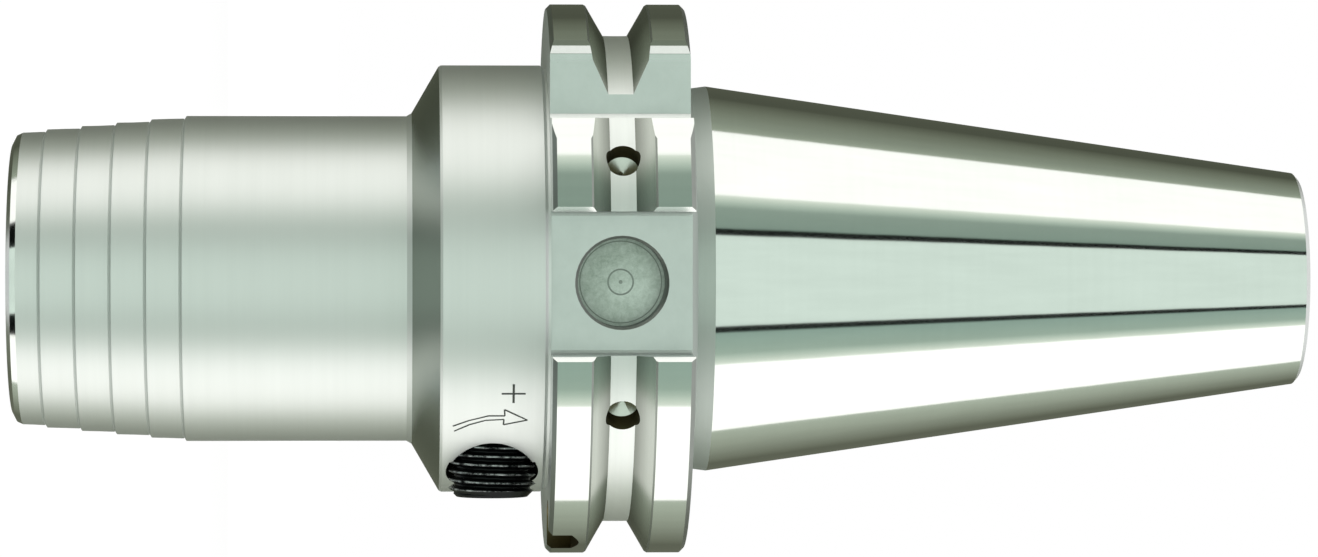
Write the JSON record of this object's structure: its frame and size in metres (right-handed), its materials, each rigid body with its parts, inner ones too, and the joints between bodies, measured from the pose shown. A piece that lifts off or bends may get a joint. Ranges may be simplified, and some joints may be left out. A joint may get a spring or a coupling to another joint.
{
  "type": "hydraulic chuck",
  "caption": "Hydraulic expansion chuck with steep-taper shank, V-grooved keyed flange and slim ringed nose, whose side screw presses oil round the tool bore's thin sleeve.",
  "frame": {"origin": "centre of the nose's front face, on the chuck's axis", "axes": "+Z along the chuck's axis from the nose towards the taper's small end; -Y through the drive keyway that has the data chip's pocket; the orientation notch lies between -X and -Y"},
  "size_m": [0.0636, 0.0612, 0.1489],
  "materials": {
    "body_steel": "hardened tool steel, fine turned and ground",
    "sleeve_steel": "honed bore",
    "black_screw": "black oxide",
    "ball_steel": "polished bearing ball",
    "piston_steel": "ground",
    "backup_plastic": "turned plastic",
    "seal_rubber": "moulded rubber"
  },
  "bodies": {
    "chuck": {"chuck_body": "body_steel", "expansion_sleeve": "sleeve_steel", "bleed_screw": "black_screw", "bleed_ball": "ball_steel", "coolant_seal_screw_a": "black_screw", "coolant_seal_screw_b": "black_screw", "cross_hole_plug_a": "piston_steel", "cross_hole_plug_b": "piston_steel"},
    "piston": {"pressure_piston": "piston_steel", "thrust_ball": "ball_steel", "piston_backup_ring": "backup_plastic", "piston_seal": "seal_rubber"},
    "clamping_screw": {"clamping_screw": "black_screw"},
    "stop_ring": {"stop_screw_seal": "seal_rubber"},
    "stop_screw": {"length_stop_screw": "black_screw"}
  },
  "joints": [
    {"name": "piston_slide", "type": "slide", "parent": "chuck", "child": "piston", "axis": [-1, 0, 0], "range_m": [0, 0.004]},
    {"name": "clamping_screw_turn", "type": "hinge", "parent": "piston", "child": "clamping_screw", "pos_m": [0.0246, -0.0116, 0.055], "axis": [-1, 0, 0], "range_deg": [0, 1440]},
    {"name": "stop_slide", "type": "slide", "parent": "chuck", "child": "stop_ring", "axis": [0, 0, -1], "range_m": [0, 0.01]},
    {"name": "stop_screw_turn", "type": "hinge", "parent": "stop_ring", "child": "stop_screw", "pos_m": [0, 0, 0.05], "axis": [0, 0, -1], "range_deg": [0, 3600]}
  ],
  "couplings": [
    {"joint": "piston_slide", "follows": "clamping_screw_turn", "m_per_rad": 0.00015915},
    {"joint": "stop_slide", "follows": "stop_screw_turn", "m_per_rad": 0.00015915}
  ]
}
